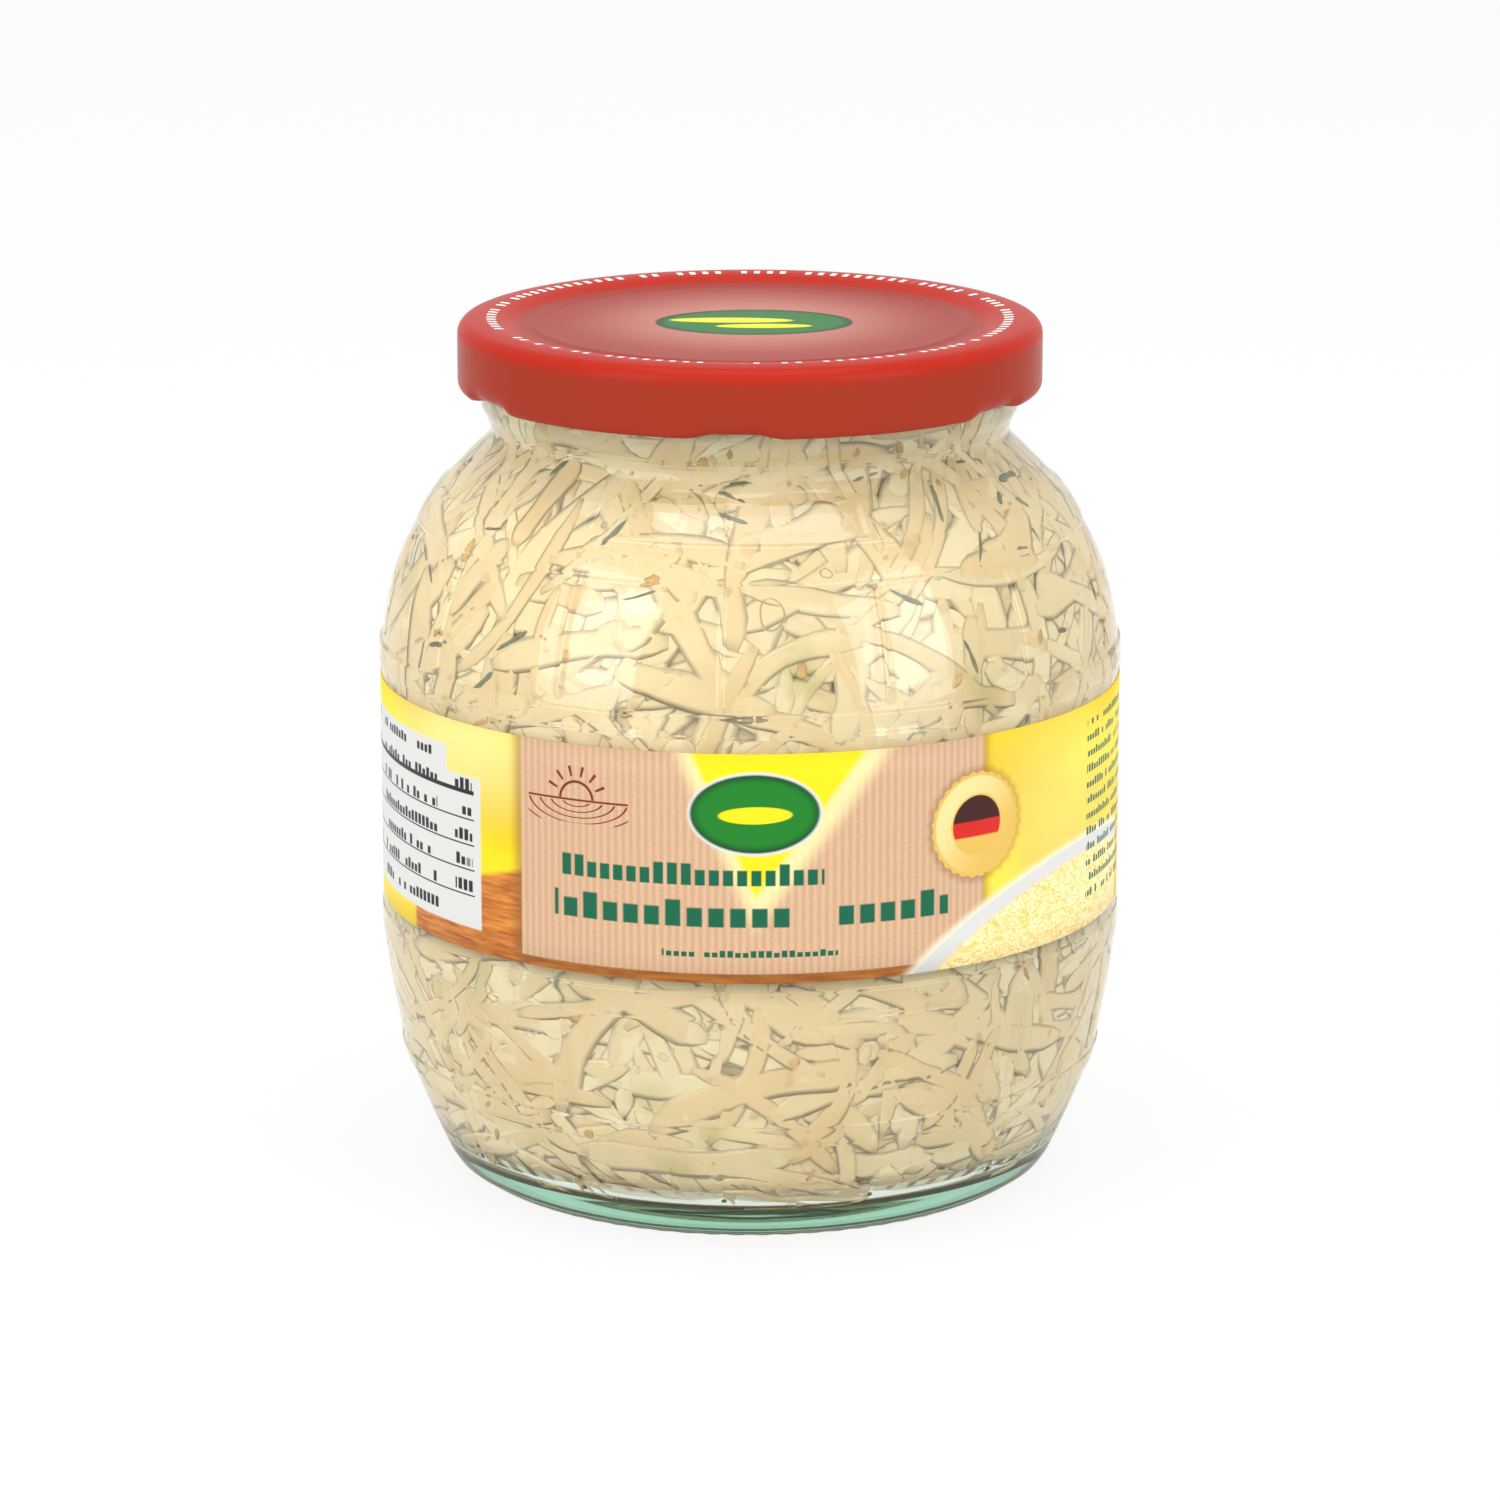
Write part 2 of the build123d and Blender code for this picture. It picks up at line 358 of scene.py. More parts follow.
def staveAngles():
    pitch = 360 / jarForm["staves"]
    near = [-1.3, -0.8, -0.5, -0.25, 0.0, 0.25, 0.5, 0.8, 1.3]
    far = [2.2, 3.4, 5.2, 7.4, 9.8, 12.3, 14.9, 17.4, 19.6, 21.4, 22.9]
    angles = []
    for i in range(jarForm["staves"]):
        for d in near + far:
            angles.append(math.radians(jarForm["stavePhase"] + i * pitch + d))
    return angles


def evenAngles(count):
    return [2 * math.pi * i / count for i in range(count)]


def heightsBetween(low, high, step, edges):
    # even heights, crowded where the outline turns sharply
    heights = set()
    n = max(1, round((high - low) / step))
    for i in range(n + 1):
        heights.add(round(low + (high - low) * i / n, 3))
    for e in edges:
        for k in (-0.55, -0.4, -0.28, -0.15, 0.0, 0.15, 0.28, 0.4, 0.55):
            if low < e + k < high:
                heights.add(round(e + k, 3))
    kept = []
    for z in sorted(heights):
        if not kept or z - kept[-1] > 0.1:
            kept.append(z)
    return kept


def innerRows():
    # (height, radius) of the glass's inner face from the floor's edge up
    rows = [(5.55, 38.0), (5.9, 39.6), (6.6, 41.6), (7.8, 43.6)]
    for z in (9.5, 13.0, 18.0, 24.0, 30.0, 36.0, 41.4, 60.0, 76.9,
              83.0, 88.0, 93.0, 97.0, 100.5, 104.0, 107.0):
        rows.append((z, bodyRadius(z) - jarForm["wall"]))
    neck, mouth = jarForm["neckRadius"] - jarForm["neckWall"], jarForm["mouthRadius"]
    return rows + [(109.7, neck + 1.5), (112.2, neck), (118.5, mouth), (jarForm["rimTop"] - 0.8, mouth)]


innerTable = innerRows()


def innerRadius(z):
    return curveThrough(innerTable, z)


def floorHeight(r):
    # the inner floor is domed over the punt
    edge = 38.5
    return 5.25 + jarForm["puntRise"] / 2 * (1 - (min(r, edge) / edge) ** 2)


def innerUneven(a, z):
    # the slight waviness of the inner face, none at the floor and neck
    return glassLook["innerUneven"] * wave(a * 5, z * 0.12, 1.3) * ease(8, 16, z) * (1 - ease(104, 110, z))


glassLook = {
    "tint": (0.975, 0.992, 0.982),
    "body": (0.62, 0.9, 0.78),    # what long paths through it keep
    "bodyDensity": 26.0,
    "innerUneven": 0.05,          # mm
}


def glassMaterial():
    bench = Bench("jar_glass")
    bench.principled(Base_Color=glassLook["tint"], Roughness=0.0, IOR=1.5, Transmission_Weight=1.0)
    bench.absorb(glassLook["body"], glassLook["bodyDensity"])
    return bench.material


def plain(r, z):
    # a round, level ring
    return lambda a: (r, z)


def knurled(r, z, share):
    # a ring of the foot that lifts between the knurls
    def ring(a):
        bite = 0.5 + 0.5 * math.cos(a * jarForm["knurls"])
        return (r, z + share * jarForm["knurlDepth"] * bite ** 1.5)
    return ring


def innerRing(z):
    return lambda a: (innerRadius(z) + innerUneven(a, z), z)


def makeGlass():
    points, faces = [], []
    wide = sorted(a % (2 * math.pi) for a in staveAngles())
    fine = evenAngles(jarForm["knurls"] * 7)
    punt, rim, top, mouth = (jarForm[key] for key in ("puntRise", "rimRadius", "rimTop", "mouthRadius"))
    # underside: punt, bearing ring, knurled outer edge, heel
    foot = [plain(r, punt * (1 - (r / 37.5) ** 2) ** 0.8) for r in (6, 14, 22, 28, 32, 35, 36.6)]
    foot += [plain(37.4, 0.06), plain(38.2, 0.0), plain(39.3, 0.0), knurled(39.9, 0.02, 0.15),
             knurled(40.5, 0.04, 0.7), knurled(41.2, 0.12, 1.0), knurled(41.8, 0.26, 0.8),
             knurled(42.3, 0.42, 0.3)]
    starts = turnRings(foot, fine, points, faces)
    capRing(starts[0], len(fine), punt, points, faces, False)
    edges = [e for hoop in hoops for e in (hoop[0] + 0.28, hoop[1] - 0.28)]
    edges += [z + k for low, high, _ in staveZones for z, k in ((low, 0.45), (high, -0.45))]
    edges += [112.85, 113.05, 113.65, 113.9]  # the fine rings of the neck
    heights = heightsBetween(0.72, 118.4, 1.35, edges)
    body = [outerRing(z) for z in heights]
    body += [plain(rim - 0.4, 119.4), plain(rim, 120.6), plain(rim, top - 0.7), plain(rim - 0.2, top - 0.25),
             plain(rim - 0.7, top), plain(mouth + 0.7, top), plain(mouth + 0.2, top - 0.2),
             plain(mouth, top - 0.8)]
    bodyStarts = turnRings(body, wide, points, faces)
    zipRings(starts[-1], fine, bodyStarts[0], wide, faces)
    # down the inside, closer together at the neck and at the floor's edge
    innerHeights = [124, 121, 118.5, 116.5, 114.5, 113.2, 112.2, 111.0, 109.8, 108.4, 107, 105.4, 103.6,
                    101.6, 99.4, 97, 94.4, 91.6, 88.6, 85.4, 82, 78, 74, 69, 64, 59, 54, 49, 44, 40, 36,
                    32.5, 29, 26, 23, 20, 17.5, 15, 13, 11.4, 10.2, 9.2, 8.4, 7.7, 7.1, 6.6, 6.2, 5.9,
                    5.7, 5.58]
    inner = [innerRing(z) for z in innerHeights]
    inner += [plain(r, floorHeight(r)) for r in (37.0, 34, 28, 20, 10)]
    innerStarts = turnRings(inner, wide, points, faces)
    joinRings(bodyStarts[-1], innerStarts[0], len(wide), faces)
    capRing(innerStarts[-1], len(wide), floorHeight(0), points, faces, True)
    piece = makePiece("jar_glass", points, faces, glassMaterial())
    piece.visible_shadow = False  # clear glass: the lamps reach what is in it
    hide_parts("glass_jar")
    return piece


jarGlass = makeGlass()
print("glass:", len(jarGlass.data.polygons), "faces")

krautLook = {
    "level": 120.0,
    "coreLevel": 118.5,
    "intoWall": 0.12,         # how far the brine reaches into the glass
    "coreDepth": 0.8,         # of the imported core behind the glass
    "palest": (0.975, 0.81, 0.52),
    "usual": (0.945, 0.73, 0.43),
    "tan": (0.87, 0.63, 0.32),
    "brown": (0.66, 0.40, 0.15),
    "olive": (0.55, 0.48, 0.13),
    "fleckBrown": (0.62, 0.40, 0.16),
    # painted shade: the dark of opaque slivers put where air gaps look dark from what they reflect
    "slitPaintedDark": (0.20, 0.20, 0.12),
    # painted shade and painted highlight of the bubble rings, upper edge dark and lower edge bright
    "bubblePaintedShade": (0.52, 0.40, 0.22),
    "bubblePaintedHighlight": (1.0, 0.95, 0.82),
    "bubbles": 70,
    "brineTint": (1.0, 0.985, 0.93),
    "brineBody": (1.0, 0.9, 0.62),
    "brineDensity": 45.0,
}
# shreds and what lies among them; depth is from the glass inwards, in mm like width, length and height
shredLayers = {
    "kraut_strands": {"count": 1150, "depth": (-0.04, 0.2), "width": (1.8, 5.2), "length": (12, 34),
                      "segments": 13, "seed": 11, "height": (6.4, 118.0)},
    "kraut_strands_deep": {"count": 900, "depth": (0.18, 0.5), "width": (2.6, 6.0), "length": (14, 36),
                           "segments": 12, "seed": 23, "height": (6.4, 118.0)},
    "kraut_flecks": {"count": 150, "depth": (-0.06, 0.05), "width": (0.5, 1.5), "length": (1.2, 3.6),
                     "segments": 4, "seed": 37, "height": (6.4, 118.0)},
    # painted shade: dark opaque slivers stand in for air gaps, which look dark only from what they reflect
    "painted_dark_slits": {"count": 60, "depth": (-0.07, 0.0), "width": (0.35, 0.9), "length": (2.0, 6.0),
                  "segments": 6, "seed": 41, "height": (79.0, 112.0)},
}
shredSection = [(1, 0), (0.6, 1), (-0.6, 1), (-1, 0), (-0.6, -1), (0.6, -1)]  # flat six-sided cut of a shred


def strandMaterial(name, paintedDepthShade):
    bench = Bench(name)
    where = bench.objectSpace()
    tone = bench.node("ShaderNodeAttribute", attribute_name="strandTone").outputs["Fac"]
    look = krautLook
    base = bench.mix(bench.ramp(tone, 0.1, 0.9), look["usual"], look["palest"])
    wide = bench.noise(where, 55, 2, 0.5)
    base = bench.mix(bench.mul(bench.ramp(wide, 0.5, 0.72), 0.55), base, look["tan"])
    spots = bench.noise(where, 150, 2, 0.5, 0.4)
    base = bench.mix(bench.mul(bench.ramp(spots, 0.66, 0.76), 0.6), base, look["brown"])
    turned = bench.stretchMap(where, (1, 1, 1), (0.4, 1.1, 0.2))  # so that it doesn't follow the others
    olive = bench.noise(turned, 70, 1, 0.5)
    base = bench.mix(bench.mul(bench.ramp(olive, 0.66, 0.8), 0.55), base, look["olive"])
    fibre = bench.noise(bench.stretchMap(where, (1, 1, 0.35)), 1400, 2, 0.6)
    base = bench.mix(bench.mul(bench.ramp(fibre, 0.35, 0.7), 0.16), base, look["palest"])
    # painted shade: the deeper layer is tinted a little towards tan, darker for lying further from the glass
    if paintedDepthShade:
        base = bench.mix(0.12, base, look["tan"])
    bench.principled(Base_Color=base, Roughness=0.42, IOR=1.4, Specular_IOR_Level=0.25,
                     Normal=bench.bump(fibre, 0.12, 0.0002))
    return bench.material


def onWall(z, depth):
    # (radius, height) of a point this far inside the glass's inner face, measured square to it
    slope = (innerRadius(z + 0.3) - innerRadius(z - 0.3)) / 0.6
    length = math.hypot(1, slope)
    return (innerRadius(z) - depth / length, z + depth * slope / length)


def layStrand(draw, layer, points, faces):
    # one shred that wanders along the glass; returns its tone
    z = draw.uniform(*layer["height"])
    a = draw.uniform(0, 2 * math.pi)
    heading = draw.gauss(0, 0.85) if draw.random() < 0.7 else draw.uniform(0, math.pi)
    bend = draw.gauss(0, 0.05)
    length = draw.uniform(*layer["length"])
    width = draw.uniform(*layer["width"]) * (1.35 if draw.random() < 0.12 else 1)
    thick = draw.uniform(0.12, 0.28)
    nearest = layer["depth"][0]
    depth = draw.uniform(*layer["depth"])
    lean = draw.gauss(0, 0.02)
    dip = draw.uniform(-0.12, 0.15)
    tone = clamp01(draw.gauss(0.55, 0.22))
    ripple = draw.uniform(0, 6.28)
    segments, sides = layer["segments"], len(shredSection)
    step = length / segments
    first = len(points)
    for i in range(segments + 1):
        t = i / segments
        taper = min(1, 0.35 + 5 * t, 0.35 + 5 * (1 - t))
        wide = width * taper * (1 + 0.12 * math.sin(9 * t + ripple))
        deep = max(nearest, depth + dip * (t - 0.5) + 0.05 * math.sin(7 * t + ripple))
        middle = min(max(z, 5.9), 119.5)
        for across, out in shredSection:
            side = across * wide / 2
            raised = out * thick / 2 + side * lean
            za = min(max(middle + math.cos(heading) * side, 5.7), 120.5)
            r, height = onWall(za, max(deep - raised, nearest - 0.02))
            points.append(aroundJar(a - math.sin(heading) * side / innerRadius(middle), r, height))
        heading += bend * step * 0.5 + draw.gauss(0, 0.045)
        a += math.cos(heading) * step / innerRadius(middle)
        z += math.sin(heading) * step
    for i in range(segments):
        s0, s1 = first + sides * i, first + sides * (i + 1)
        for k in range(sides):
            m = (k + 1) % sides
            faces.append((s0 + k, s1 + k, s1 + m, s0 + m))
    last = first + sides * segments
    faces.append(tuple(range(first, first + sides)))
    faces.append(tuple(range(last + sides - 1, last - 1, -1)))
    return tone


def makeStrands(name, material):
    layer = shredLayers[name]
    draw = random.Random(layer["seed"])
    points, faces, tones = [], [], []
    for _ in range(layer["count"]):
        tone = layStrand(draw, layer, points, faces)
        tones += [tone] * (len(points) - len(tones))
    piece = makePiece(name, points, faces, material)
    kept = piece.data.attributes.new("strandTone", "FLOAT", "POINT")
    kept.data.foreach_set("value", tones)
    return piece


def coreMaterial():
    bench = Bench("packed_kraut")
    where = bench.objectSpace()
    look = krautLook
    strips = bench.noise(bench.stretchMap(where, (1.0, 1.0, 2.6), (0.25, 0.1, 0)), 210, 3, 0.55, 0.8)
    base = bench.mix(bench.ramp(strips, 0.3, 0.6), look["tan"], look["palest"])
    patches = bench.noise(where, 60, 2, 0.5)
    base = bench.mix(bench.mul(bench.ramp(patches, 0.55, 0.75), 0.3), base, look["brown"])
    bench.principled(Base_Color=base, Roughness=0.5, IOR=1.4, Specular_IOR_Level=0.2,
                     Normal=bench.bump(strips, 0.5, 0.0008))
    return bench.material


def coreRing(z):
    def ring(a):
        uneven = 0.35 * wave(a * 9, z * 0.35, 4.0) + 0.2 * wave(a * 31, z * 1.1, 2.0)
        return onWall(z, max(0.45, krautLook["coreDepth"] + uneven))
    return ring


def coreTopRing(share):
    # a ring of the core's uneven top, at this share of the full radius
    top = krautLook["coreLevel"]
    return lambda a: (innerRadius(top) * share, top + 0.9 * wave(a * 2, share * 9, 3.1) * share)


def makeCore():
    points, faces = [], []
    angles = evenAngles(240)
    low, top, steps = 6.9, krautLook["coreLevel"], 110
    rings = [plain(10, 7.4), plain(26, 7.1), plain(38.5, low)]
    rings += [coreRing(low + (top - low) * i / steps) for i in range(steps + 1)]
    rings += [coreTopRing(share) for share in (0.88, 0.72, 0.55, 0.38, 0.2)]
    starts = turnRings(rings, angles, points, faces)
    capRing(starts[0], len(angles), 7.5, points, faces, False)
    capRing(starts[-1], len(angles), top + 0.3, points, faces, True)
    return makePiece("kraut_core", points, faces, coreMaterial())


def brineMaterial():
    bench = Bench("kraut_brine")
    bench.principled(Base_Color=krautLook["brineTint"], Roughness=0.0, IOR=1.34, Transmission_Weight=1.0)
    bench.absorb(krautLook["brineBody"], krautLook["brineDensity"])
    return bench.material


def brineRing(z):
    return lambda a: (innerRadius(z) + innerUneven(a, z) + krautLook["intoWall"], z)


def makeBrine():
    points, faces = [], []
    angles = evenAngles(180)
    into, level = krautLook["intoWall"], krautLook["level"]
    heights = [5.9, 6.2, 6.6, 7.1, 7.8, 8.6, 9.6, 11, 13, 15.5, 18, 21, 24, 27, 30, 33, 36, 41.4, 50, 60,
               70, 76.9, 80, 83, 85.5, 88, 90.5, 93, 95, 97, 99, 100.5, 102.3, 104, 105.5, 107, 108.4,
               109.7, 110.6, 111.5, 112.5, 113.5, 115, 117, 118.5, level]
    rings = [plain(r, floorHeight(r) - into) for r in (10, 20, 28, 34, 38)]
    rings += [brineRing(z) for z in heights] + [plain(20, level)]
    starts = turnRings(rings, angles, points, faces)
    capRing(starts[0], len(angles), floorHeight(0) - into, points, faces, False)
    capRing(starts[-1], len(angles), level, points, faces, True)
    piece = makePiece("brine", points, faces, brineMaterial())
    piece.visible_shadow = False  # clear, like the glass
    return piece


def bubbleMaterial():
    # painted shade and highlight: each bubble is drawn as a ring whose upper edge is painted dark and lower
    # edge bright, by which way its surface faces
    bench = Bench("air_bubble")
    up = bench.split(bench.node("ShaderNodeNewGeometry").outputs["Normal"])[2]
    base = bench.mix(bench.ramp(up, -0.3, 0.5), krautLook["bubblePaintedHighlight"], krautLook["bubblePaintedShade"])
    bench.principled(Base_Color=base, Roughness=0.2, IOR=1.4, Specular_IOR_Level=0.4)
    return bench.material


def makeBubbles(seed):
    # thin uneven rings against the wall, some lying close together
    draw = random.Random(seed)
    points, faces = [], []
    around, section = 20, 6
    for _ in range(krautLook["bubbles"]):
        size = draw.uniform(0.4, 1.0) if draw.random() < 0.8 else draw.uniform(1.4, 2.8)
        line = 0.07 + 0.03 * size
        za, aa = draw.uniform(9, 114), draw.uniform(0, 2 * math.pi)
        squash, turn = draw.uniform(0.6, 1.0), draw.uniform(0, 3.14)
        first = len(points)
        for i in range(around):
            t = 2 * math.pi * i / around
            reach = size * (1 + 0.1 * math.sin(2 * t + turn) + 0.05 * math.sin(3 * t))
            for k in range(section):
                c = 2 * math.pi * k / section
                rim = reach + line * math.cos(c)
                x, y = rim * math.cos(t), rim * math.sin(t) * squash
                side = x * math.cos(turn) - y * math.sin(turn)
                rise = x * math.sin(turn) + y * math.cos(turn)
                a = aa + side / innerRadius(za)
                r, z = onWall(za + rise, -0.03 + line * (1 + math.sin(c)) * 0.5)
                points.append(aroundJar(a, r, z))
        for i in range(around):
            j = (i + 1) % around
            for k in range(section):
                m = (k + 1) % section
                faces.append((first + i * section + k, first + j * section + k,
                              first + j * section + m, first + i * section + m))
    return makePiece("air_bubbles", points, faces, bubbleMaterial())


def speckMaterial(name, colour, roughness):
    bench = Bench(name)
    uneven = bench.noise(bench.objectSpace(), 300, 2, 0.5)
    base = bench.mix(bench.ramp(uneven, 0.3, 0.7), colour, tuple(c * 1.5 for c in colour))
    bench.principled(Base_Color=base, Roughness=roughness, IOR=1.4, Specular_IOR_Level=0.3)
    return bench.material


krautCore = makeCore()
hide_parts("sauerkraut")
strandsNear = makeStrands("kraut_strands", strandMaterial("kraut_strand", False))
strandsDeep = makeStrands("kraut_strands_deep", strandMaterial("kraut_strand_deep_painted_shade", True))
makeStrands("kraut_flecks", speckMaterial("kraut_fleck", krautLook["fleckBrown"], 0.4))
# painted shade: dark slivers where air gaps look dark
makeStrands("painted_dark_slits", speckMaterial("painted_dark_slit", krautLook["slitPaintedDark"], 0.2))
makeBubbles(53)
makeBrine()
print("sauerkraut:", len(strandsNear.data.polygons), "+", len(strandsDeep.data.polygons), "strand faces")

lidForm = {
    "radius": 43.0,          # mm, as all lengths here
    "bottom": 118.0,
    "top": 128.3,
    "sheet": 0.4,
    "knee": 2.1,
    "lugs": 6,
    "lugPhase": -3.0,        # degrees
    "lugHalf": 8.0,          # degrees
    "lugPress": 0.95,
}
lidLook = {
    "red": (0.335, 0.034, 0.016),
    "panelRed": (0.33, 0.030, 0.018),
    "ringRed": (0.44, 0.024, 0.012),
    "glow": (0.62, 0.30, 0.23),
    "badge": (0.012, 0.16, 0.022),
    "badgeEdge": (0.01, 0.05, 0.015),
    "badgeMark": (0.85, 0.74, 0.02),
    "marks": (0.9, 0.88, 0.84),
}


def lidBadge(bench, base, u, v, onTop):
    # a plain green oval with two leaf shapes
    look = lidLook
    inner = bench.mul(bench.inOval(u, v, 0.6, 0.0, 13.4, 9.5, 0.08), onTop)
    base = bench.mix(bench.mul(bench.inOval(u, v, 0.6, 0.0, 14.5, 10.5), onTop), base, look["badgeEdge"])
    base = bench.mix(inner, base, look["badge"])
    upperLeaf = bench.inOval(bench.add(u, bench.mul(v, 0.45)), v, -2.0, 1.6, 9.0, 2.1, 0.05)
    lowerLeaf = bench.inOval(bench.add(u, bench.mul(v, -0.3)), v, 3.0, -3.2, 7.0, 1.7, 0.05)
    return bench.mix(bench.mul(bench.most(upperLeaf, lowerLeaf), inner), base, look["badgeMark"])


def lidMarks(bench, base, u, v, r, onTop):
    # a ring of short plain marks on the crown, some left out
    angle = bench.mul(bench.calc("ARCTAN2", u, bench.mul(v, -1)), 180 / math.pi)
    pitch = bench.mul(angle, 1 / 3.0)  # one mark every 3 degrees
    mark = bench.calc("FLOOR", pitch)
    draw = bench.node("ShaderNodeTexWhiteNoise", noise_dimensions="1D")
    bench.tree.links.new(mark, draw.inputs["W"])
    dash = bench.band(bench.sub(pitch, mark), 0.2, 0.72, 0.08)
    dash = bench.mul(dash, bench.ramp(draw.outputs["Value"], 0.16, 0.18))
    ring = bench.band(r, 37.2, 38.8, 0.2)
    return bench.mix(bench.mul(bench.mul(dash, ring), onTop), base, lidLook["marks"])


def lidMaterial():
    bench = Bench("lid_lacquer")
    look = lidLook
    where = bench.objectSpace()
    u, v, up = [bench.mul(part, 1000) for part in bench.split(where)]
    r = bench.distance(u, v)
    onTop = bench.ramp(up, 126.4, 126.8)
    base = bench.mix(bench.ramp(up, 125.0, 127.2), look["red"], look["ringRed"])
    base = bench.mix(bench.mul(bench.ramp(r, 35.2, 33.5), onTop), base, look["panelRed"])
    base = bench.mix(bench.mul(bench.ramp(r, 30, 8), bench.mul(onTop, 0.6)), base, look["glow"])
    base = lidBadge(bench, base, u, v, onTop)
    base = lidMarks(bench, base, u, v, r, onTop)
    peel = bench.bump(bench.noise(where, 900, 2, 0.5), 0.05, 0.0001)
    bench.principled(Base_Color=base, Roughness=0.3, Specular_IOR_Level=0.03, Coat_Weight=0.07,
                     Coat_Roughness=0.04, IOR=1.45, Normal=peel)
    return bench.material


def lidOutline():
    # (radius, height) from the middle of the panel over the crown and skirt to the rolled edge and inside
    top, low, wide, knee = (lidForm[key] for key in ("top", "bottom", "radius", "knee"))
    panel = [(0.01, 1.0), (12, 1.02), (24, 1.06), (30.2, 1.1), (30.9, 1.05), (31.5, 0.92), (32.1, 1.05),
             (32.8, 1.12), (33.7, 1.1), (34.4, 0.98), (35.2, 0.7), (36.0, 0.42), (36.8, 0.2),
             (37.8, 0.06), (38.9, 0), (39.9, 0.03), (40.7, 0.14)]
    outline = [(r, top - down) for r, down in panel]
    for i in range(1, 10):
        t = math.radians(90 - i * 9.6)
        outline.append((wide - knee + knee * math.cos(t), top - 0.18 - knee + knee * math.sin(t)))
    outline += [(wide, low + up) for up in (7.2, 6.0, 4.6, 3.4, 2.6, 2.0, 1.5, 1.1)]
    curl = [(0.08, 0.7), (0.28, 0.35), (0.6, 0.08), (1.0, 0.0), (1.4, 0.1), (1.65, 0.4), (1.7, 0.9),
            (1.6, 1.6), (1.2, 2.1), (lidForm["sheet"], 2.6), (lidForm["sheet"], 6.5)]
    outline += [(wide - inwards, low + up) for inwards, up in curl]
    return outline + [(wide - 1.9, 127.0), (36.0, 127.0), (34.2, 126.8), (20, 126.8), (0.01, 126.8)]


def lidRing(r, z):
    # the skirt's foot is pressed in at each lug
    form = lidForm
    low, pitch = form["bottom"], 360 / form["lugs"]

    def ring(a):
        if r <= form["radius"] - 1.75 or z >= low + 3.2:
            return (r, z)
        d = abs((math.degrees(a) - form["lugPhase"] + pitch / 2) % pitch - pitch / 2)
        press = 1 - ease(form["lugHalf"] * 0.45, form["lugHalf"] * 1.25, d)
        inwards = press * form["lugPress"] * (1 - ease(low, low + 3.0, z))
        return (r - inwards, z + press * 0.55 * (1 - ease(low, low + 1.6, z)))
    return ring


def makeLid():
    points, faces = [], []
    turnRings([lidRing(r, z) for r, z in lidOutline()], evenAngles(432), points, faces)
    faces = [tuple(reversed(face)) for face in faces]
    piece = makePiece("lid_cap", points, faces, lidMaterial())
    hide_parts("lid")
    return piece


lidCap = makeLid()
print("lid:", len(lidCap.data.polygons), "faces")

labelForm = {"radius": 54.98, "thickness": 0.1, "bottom": 42.2, "top": 75.7}
labelInk = {
    "yellow": (0.82, 0.53, 0.008),
    "lemon": (0.90, 0.70, 0.010),
    "pale": (0.92, 0.82, 0.40),
    "kraft": (0.60, 0.375, 0.225),
    "kraftStripe": (0.67, 0.45, 0.29),
    "white": (0.66, 0.66, 0.645),
    "black": (0.02, 0.02, 0.02),
    "green": (0.008, 0.12, 0.06),
    "badge": (0.012, 0.20, 0.02),
    "badgeEdge": (0.008, 0.075, 0.02),
    "darkRed": (0.20, 0.025, 0.012),
    "wood": (0.70, 0.26, 0.045),
    "woodDark": (0.36, 0.09, 0.012),
    "gold": (0.72, 0.47, 0.10),
    "goldPale": (0.85, 0.68, 0.30),
    "red": (0.62, 0.02, 0.015),
    "medalDark": (0.05, 0.012, 0.01),
    "dishShade": (0.86, 0.80, 0.62),
    "shredDark": (0.86, 0.55, 0.11),
    "shred": (0.98, 0.87, 0.47),
    "shredPale": (1.0, 0.95, 0.72),
    "shade": (0.25, 0.10, 0.03),
}
# where things are printed: u is mm to the right of the front, v is mm above the label's lower edge
labelPlan = {
    "badge": (0.7, 24.8),
    "sun": (-25.5, 25.5),
    "medal": (34.6, 20.6),
    "dish": (62.0, -22.0),
    "dishSize": (49.0, 36.0),
    "lines": [  # box, row pitch, block height as a share of it, block width, share kept, seed
        ((-28.2, 10.6, 13.8, 18.2), 4.4, 0.72, 2.0, 0.9, 1.0),
        ((-29.1, 29.6, 7.6, 13.0), 5.4, 0.72, 3.1, 0.92, 2.0),
        ((-12.6, 12.6, 3.6, 5.6), 2.0, 0.5, 1.1, 0.86, 3.0)],
    "tableLines": [
        ((-75, -53, 4.2, 28.6), 3.76, 0.42, 1.2, 0.7, 5.0),
        ((-48.6, -44.6, 8.2, 26.5), 3.76, 0.45, 1.2, 0.9, 8.0),
        ((-110, -80, 4.2, 28.6), 3.76, 0.42, 1.2, 0.72, 6.0)],
    "smallPrint": ((60.5, 104, 4.0, 32.2), 2.35, 0.5, 1.0, 0.84, 9.0),
}


def printGround(bench, u, v, sheet):
    # yellow with paler and stronger clouds, and a wooden board along the foot
    ink = labelInk
    cloud = bench.noise(bench.stretchMap(sheet, (0.03, 0.06, 1)), 1.0, 2, 0.5)
    ground = bench.mix(bench.ramp(cloud, 0.35, 0.65), ink["yellow"], ink["lemon"])
    ground = bench.mix(bench.mul(bench.inOval(u, v, -46, 31, 16, 8, 0.9), 0.6), ground, ink["pale"])
    ground = bench.mix(bench.mul(bench.inOval(u, v, 52, 17, 14, 16, 0.95), 0.3), ground, ink["pale"])
    grain = bench.noise(bench.stretchMap(sheet, (0.16, 1.6, 1), (0, 0, 0.35)), 1.0, 4, 0.6, 0.3)
    wood = bench.mix(bench.ramp(grain, 0.3, 0.7), ink["woodDark"], ink["wood"])
    above = bench.pastLine(u, v, (-78, 2.5), (-30, 15), 0.6)
    board = bench.mul(bench.sub(1.0, above), bench.inBox(u, v, -60, 32, -2, 15.5, 0.5))
    return bench.mix(board, ground, wood)


